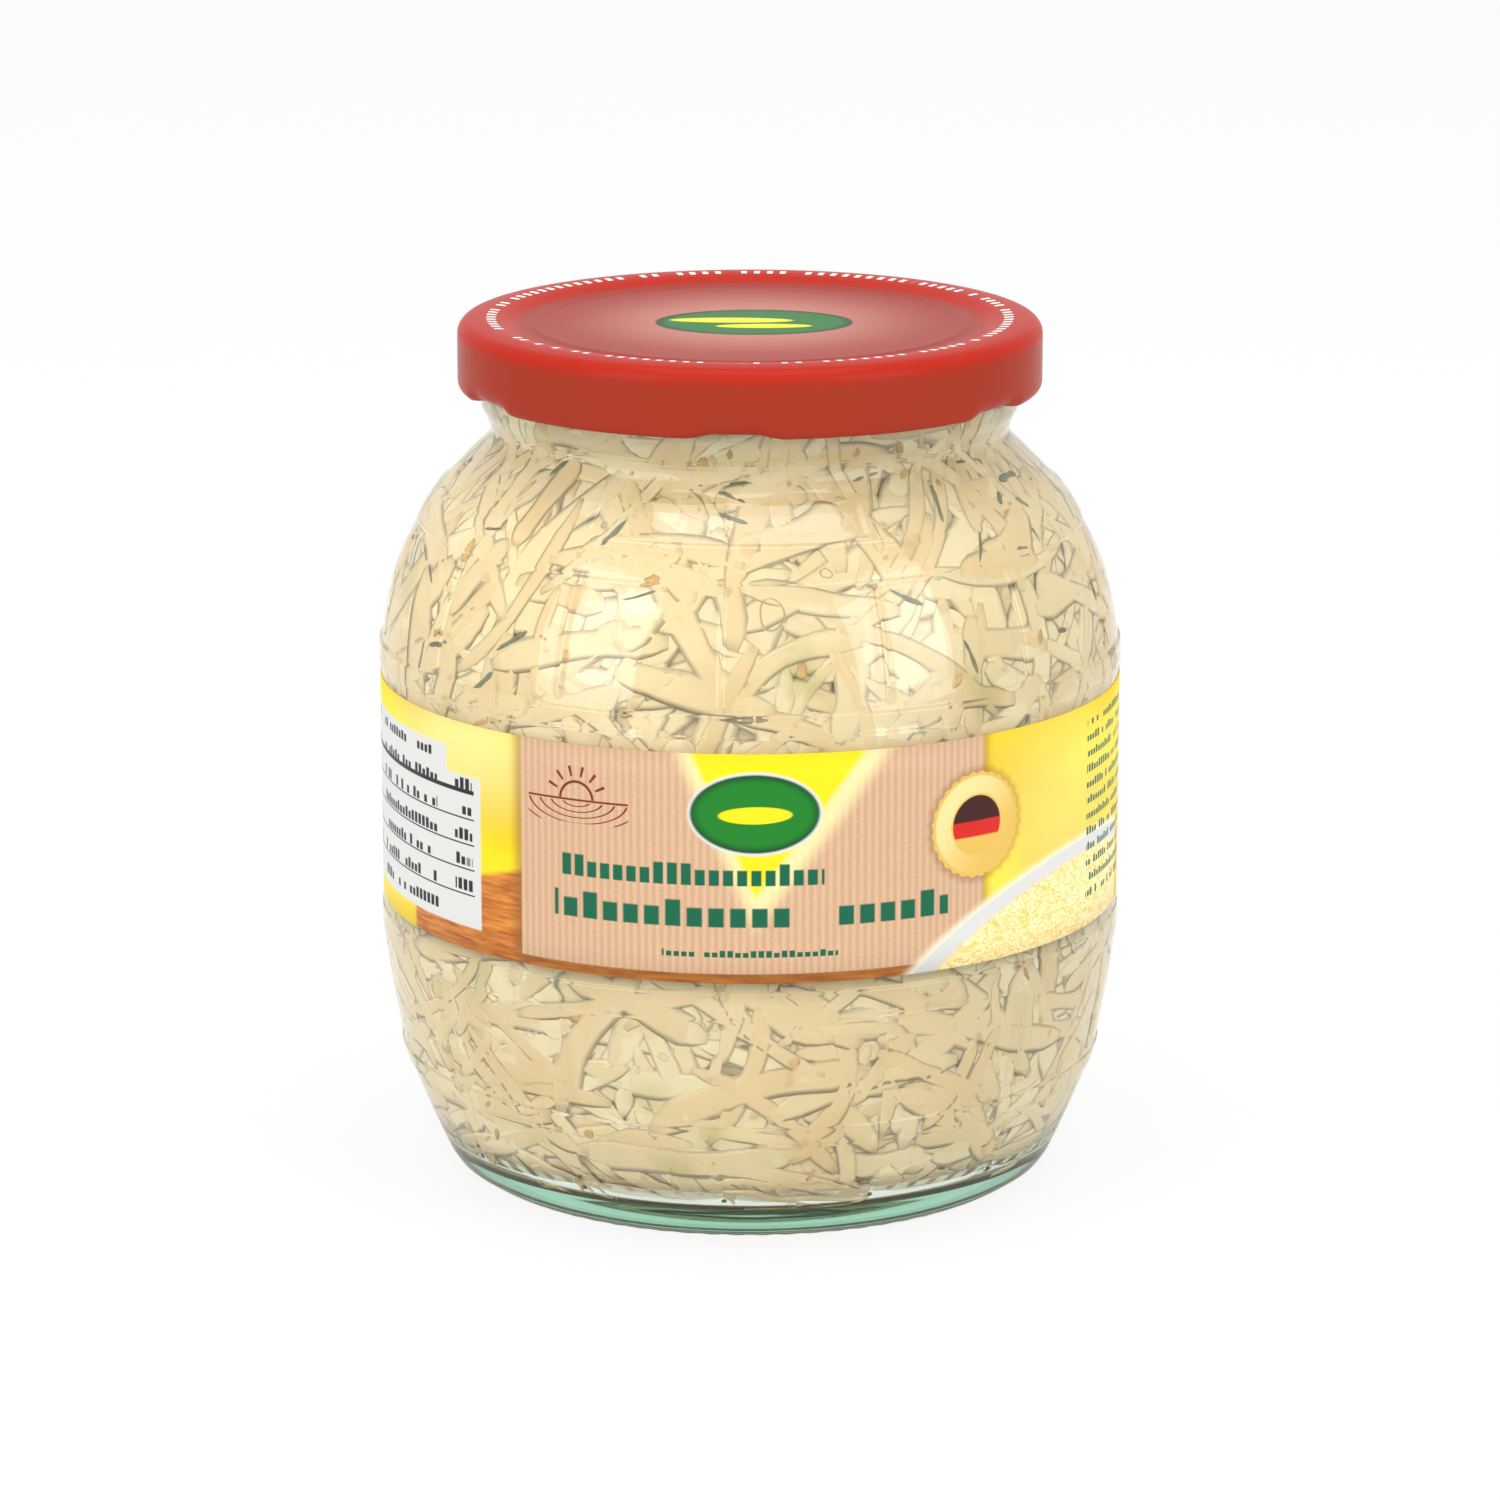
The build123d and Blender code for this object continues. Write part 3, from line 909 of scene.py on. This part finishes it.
def printKraft(bench, ground, u, v, sheet):
    # striped kraft panel with its soft shadow, and the yellow tongue that hangs over it
    ink = labelInk
    shadow = bench.inBox(u, v, -36.2, 36.6, 0.2, 40, 1.3)
    ground = bench.mix(bench.mul(shadow, 0.6), ground, ink["shade"])
    stripes = bench.calc("SINE", bench.mul(u, 5.6))
    fleck = bench.noise(sheet, 2.6, 2, 0.6)
    kraft = bench.mix(bench.ramp(stripes, -0.8, 0.9), ink["kraft"], ink["kraftStripe"])
    kraft = bench.mix(bench.mul(bench.ramp(fleck, 0.3, 0.7), 0.14), kraft, ink["shade"])
    panel = bench.inBox(u, v, -34.9, 35.8, 1.4, 40, 0.1)
    ground = bench.mix(panel, ground, kraft)
    for tip, left, right, soft, share, colour in ((8.0, -10.6, 20.6, 1.5, 0.75, ink["pale"]),
                                                  (12.5, -8.6, 17.0, 0.7, 1.0, ink["lemon"])):
        pastLeft = bench.pastLine(u, v, (0.7, tip), (left, 34), soft)
        pastRight = bench.pastLine(u, v, (right, 34), (0.7, tip), soft)
        tongue = bench.mul(bench.sub(1.0, pastLeft), bench.sub(1.0, pastRight))
        ground = bench.mix(bench.mul(bench.mul(tongue, panel), share), ground, colour)
    return ground


def printBadge(bench, ground, u, v):
    # plain green oval with one leaf shape
    ink = labelInk
    cu, cv = labelPlan["badge"]
    for ru, rv, soft, colour in ((9.6, 6.1, 0.03, ink["white"]), (9.2, 5.7, 0.03, ink["badgeEdge"]),
                                 (8.5, 5.0, 0.12, ink["badge"])):
        ground = bench.mix(bench.inOval(u, v, cu, cv, ru, rv, soft), ground, colour)
    leaf = bench.inOval(bench.add(u, bench.mul(v, -0.25)), v, -5.4, 24.6, 5.2, 1.25, 0.06)
    return bench.mix(leaf, ground, ink["lemon"])


def printSun(bench, ground, u, v):
    # half sun over furrows, in thin dark red lines
    du, dv = [bench.sub(at, centre) for at, centre in zip((u, v), labelPlan["sun"])]
    r = bench.distance(du, dv)
    arc = bench.mul(bench.band(r, 2.3, 2.85, 0.15), bench.ramp(dv, 0.0, 0.1))
    rays = bench.calc("COSINE", bench.mul(bench.calc("ARCTAN2", dv, du), 14))
    rays = bench.mul(bench.mul(bench.ramp(rays, 0.72, 0.86), bench.band(r, 3.3, 5.0, 0.15)),
                     bench.ramp(dv, 0.3, 0.5))
    furrow = bench.calc("SINE", bench.mul(bench.distance(du, bench.mul(dv, math.sqrt(5))), 3.4))
    furrow = bench.mul(bench.mul(bench.ramp(furrow, 0.78, 0.92), bench.ramp(dv, -0.35, -0.5)),
                       bench.mul(bench.ramp(dv, -3.6, -3.3), bench.inBox(u, v, -33.5, -17.5, 20, 34, 0.3)))
    horizon = bench.inBox(u, v, -33.5, -17.5, 25.25, 25.55, 0.06)
    drawn = bench.most(bench.most(arc, rays), bench.most(furrow, horizon))
    return bench.mix(drawn, ground, labelInk["darkRed"])


def printMedal(bench, ground, u, v):
    # gold medal with a scalloped edge and a dark, red and gold middle
    ink = labelInk
    du, dv = [bench.sub(at, centre) for at, centre in zip((u, v), labelPlan["medal"])]
    r = bench.distance(du, dv)
    edge = bench.add(r, bench.mul(bench.calc("COSINE", bench.mul(bench.calc("ARCTAN2", dv, du), 28)), 0.14))
    shine = bench.ramp(bench.add(bench.mul(du, 0.7), bench.mul(dv, -0.7)), -6, 6)
    face = bench.mix(shine, ink["goldPale"], ink["gold"])
    middle = bench.mix(bench.ramp(dv, 0.4, 0.7), ink["red"], ink["medalDark"])
    middle = bench.mix(bench.ramp(dv, -1.6, -1.9), middle, ink["gold"])
    ground = bench.mix(bench.mul(bench.ramp(bench.add(edge, -0.5), 8.6, 7.2), 0.45), ground, ink["shade"])
    for at, outer, inner, colour in ((edge, 7.75, 7.6, ink["gold"]), (r, 7.2, 7.05, face),
                                     (r, 4.6, 4.45, ink["gold"]), (r, 4.3, 4.2, middle)):
        ground = bench.mix(bench.ramp(at, outer, inner), ground, colour)
    return ground


def printDish(bench, ground, u, v, sheet):
    # a pale dish rim and a heap of shreds, cut by the label's lower edge
    ink = labelInk
    du, dv = [bench.mul(bench.sub(at, centre), 1 / size)
              for at, centre, size in zip((u, v), labelPlan["dish"], labelPlan["dishSize"])]
    r = bench.distance(du, dv)
    area = bench.inBox(u, v, 5, 76, -2, 20, 0.4)
    ground = bench.mix(bench.mul(bench.ramp(r, 1.03, 0.985), area), ground, ink["dishShade"])
    ground = bench.mix(bench.mul(bench.ramp(r, 0.995, 0.985), area), ground, ink["white"])
    shred = bench.noise(bench.stretchMap(sheet, (0.55, 0.9, 1), (0, 0, 0.5)), 1.0, 3, 0.65, 2.5)
    heap = bench.mix(bench.ramp(shred, 0.32, 0.62), ink["shredDark"], ink["shred"])
    heap = bench.mix(bench.ramp(shred, 0.6, 0.75), heap, ink["shredPale"])
    inHeap = bench.ramp(bench.add(r, bench.mul(shred, 0.05)), 0.965, 0.945)
    return bench.mix(bench.mul(inHeap, area), ground, heap)


def printTable(bench, ground, u, v):
    # plain white table with rules and blocks, on the left
    ink = labelInk
    table = bench.most(bench.inBox(u, v, -112, -42.8, 3.3, 25.8, 0.12),
                       bench.inBox(u, v, -112, -50.5, 25, 29.6, 0.12))
    ground = bench.mix(table, ground, ink["white"])
    marks = bench.inBox(u, v, -110, -44.2, 23.1, 23.75, 0.07)
    for height in (19.3, 15.5, 11.8, 8.0):
        marks = bench.most(marks, bench.inBox(u, v, -110, -44.2, height, height + 0.22, 0.05))
    for line in labelPlan["tableLines"]:
        marks = bench.most(marks, bench.wordBars(u, v, *line))
    return bench.mix(marks, ground, ink["black"])


def printBack(bench, ground, u, v):
    # plain stripes in a white field, round the back
    ink = labelInk
    draw = bench.node("ShaderNodeTexWhiteNoise", noise_dimensions="1D")
    bench.tree.links.new(bench.calc("FLOOR", bench.mul(u, 2.6)), draw.inputs["W"])
    ground = bench.mix(bench.inBox(u, v, 112, 150, 5, 28, 0.1), ground, ink["white"])
    stripes = bench.mul(bench.ramp(draw.outputs["Value"], 0.52, 0.5), bench.inBox(u, v, 116, 146, 8, 26, 0.1))
    return bench.mix(stripes, ground, ink["black"])


def labelMaterial():
    bench = Bench("label_paper")
    x, y, z = bench.split(bench.objectSpace())
    u = bench.mul(bench.calc("ARCTAN2", x, bench.mul(y, -1)), labelForm["radius"])
    v = bench.sub(bench.mul(z, 1000), labelForm["bottom"])
    sheet = bench.combine(u, v, 0.0)
    ground = printGround(bench, u, v, sheet)
    ground = printKraft(bench, ground, u, v, sheet)
    ground = printBadge(bench, ground, u, v)
    ground = printSun(bench, ground, u, v)
    for line in labelPlan["lines"]:
        ground = bench.mix(bench.wordBars(u, v, *line), ground, labelInk["green"])
    ground = printMedal(bench, ground, u, v)
    ground = printDish(bench, ground, u, v, sheet)
    ground = printTable(bench, ground, u, v)
    ground = bench.mix(bench.wordBars(u, v, *labelPlan["smallPrint"]), ground, labelInk["green"])
    ground = printBack(bench, ground, u, v)
    bench.principled(Base_Color=ground, Roughness=0.42, IOR=1.45, Specular_IOR_Level=0.2,
                     Normal=bench.bump(bench.noise(sheet, 6.0, 3, 0.6), 0.08, 0.0001))
    return bench.material


def makeLabel():
    form = labelForm
    points, faces = [], []
    angles = evenAngles(360)
    rows = 8
    heights = [form["bottom"] + (form["top"] - form["bottom"]) * i / rows for i in range(rows + 1)]
    rings = [plain(form["radius"], z) for z in heights]
    rings += [plain(form["radius"] - form["thickness"], z) for z in reversed(heights)]
    starts = turnRings(rings, angles, points, faces)
    joinRings(starts[-1], starts[0], len(angles), faces)
    piece = makePiece("label_wrap", points, faces, labelMaterial())
    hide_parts("label")


makeLabel()
print("label: printed band made")

roomLook = {
    "floor": (0.86, 0.86, 0.86),
    "floorShown": 0.86,       # share of plain white in the floor as the camera sees it
    "floorSize": 4.0,
    "topPower": 5.0,
    "sidePower": 9.0,
    "dome": 1.05,
    "domeFront": 0.95,        # of the dome's level, on the camera's side
}


def makeFloor():
    bench = Bench("studio_floor")
    ray = bench.node("ShaderNodeLightPath")
    diffuse = bench.node("ShaderNodeBsdfDiffuse")
    diffuse.inputs["Color"].default_value = (*roomLook["floor"], 1.0)
    white = bench.node("ShaderNodeEmission")
    white.inputs["Color"].default_value = (1, 1, 1, 1)
    seen = bench.most(ray.outputs["Is Camera Ray"], ray.outputs["Is Transmission Ray"])
    blend = bench.node("ShaderNodeMixShader")
    bench.plug(bench.mul(seen, roomLook["floorShown"]), blend.inputs[0])
    bench.tree.links.new(diffuse.outputs[0], blend.inputs[1])
    bench.tree.links.new(white.outputs[0], blend.inputs[2])
    bench.tree.links.new(blend.outputs[0], bench.out.inputs["Surface"])
    size = roomLook["floorSize"]
    mesh = bpy.data.meshes.new("studio_floor")
    corners = [(-size, -size, 0), (size, -size, 0), (size, size, 0), (-size, size, 0)]
    mesh.from_pydata(corners, [], [(0, 1, 2, 3)])
    mesh.materials.append(bench.material)
    floor = bpy.data.objects.new("studio_floor", mesh)
    bpy.context.scene.collection.objects.link(floor)


def makeDome():
    # even white light from all round, a little less from the camera's side
    world = bpy.data.worlds.new("studio")
    bpy.context.scene.world = world
    world.use_nodes = True
    tree = world.node_tree
    tree.nodes.clear()
    out = tree.nodes.new("ShaderNodeOutputWorld")
    background = tree.nodes.new("ShaderNodeBackground")
    path = tree.nodes.new("ShaderNodeLightPath")
    where = tree.nodes.new("ShaderNodeTexCoord")
    split = tree.nodes.new("ShaderNodeSeparateXYZ")
    tree.links.new(where.outputs["Generated"], split.inputs[0])
    behind = tree.nodes.new("ShaderNodeMapRange")
    behind.interpolation_type = "SMOOTHSTEP"
    levels = {"From Min": -0.35, "From Max": 0.55, "To Min": roomLook["domeFront"], "To Max": 1.0}
    for name, value in levels.items():
        behind.inputs[name].default_value = value
    tree.links.new(split.outputs["Y"], behind.inputs["Value"])
    level = tree.nodes.new("ShaderNodeMath")
    level.operation = "MULTIPLY"
    level.inputs[1].default_value = roomLook["dome"]
    tree.links.new(behind.outputs[0], level.inputs[0])
    shown = tree.nodes.new("ShaderNodeMath")
    shown.operation = "MAXIMUM"
    tree.links.new(level.outputs[0], shown.inputs[0])
    tree.links.new(path.outputs["Is Camera Ray"], shown.inputs[1])
    tree.links.new(shown.outputs[0], background.inputs["Strength"])
    tree.links.new(background.outputs[0], out.inputs["Surface"])


def makeLamp(name, place, size, power):
    light = bpy.data.lights.new(name, "AREA")
    light.shape = "RECTANGLE"
    light.size, light.size_y = size
    light.energy = power
    lamp = bpy.data.objects.new(name, light)
    bpy.context.scene.collection.objects.link(lamp)
    lamp.location = place
    towards = Vector((0, 0, 0.06)) - Vector(place)  # the middle of the jar
    lamp.rotation_euler = towards.to_track_quat("-Z", "Y").to_euler()


makeFloor()
makeDome()
makeLamp("top_box", (0.0, -0.05, 1.15), (0.9, 0.75), roomLook["topPower"])
makeLamp("left_box", (-1.2, -1.0, 0.65), (0.9, 1.2), roomLook["sidePower"])
makeLamp("right_box", (1.2, -1.0, 0.65), (0.9, 1.2), roomLook["sidePower"])

cameraSet = {"distance": 0.874, "height": 0.2836, "pitch": 14.2, "lens": 144.7}  # metres, degrees, mm
cam = bpy.data.cameras.new("camera")
cam.lens = cameraSet["lens"]
cam.sensor_width = 36.0
camObject = bpy.data.objects.new("camera", cam)
bpy.context.scene.collection.objects.link(camObject)
camObject.location = (0, -cameraSet["distance"], cameraSet["height"])
camObject.rotation_euler = (math.radians(90 - cameraSet["pitch"]), 0, 0)
cam.clip_start, cam.clip_end = 0.01, 50
bpy.context.scene.camera = camObject
bpy.context.scene.view_settings.view_transform = "Standard"
print("room and camera ready")
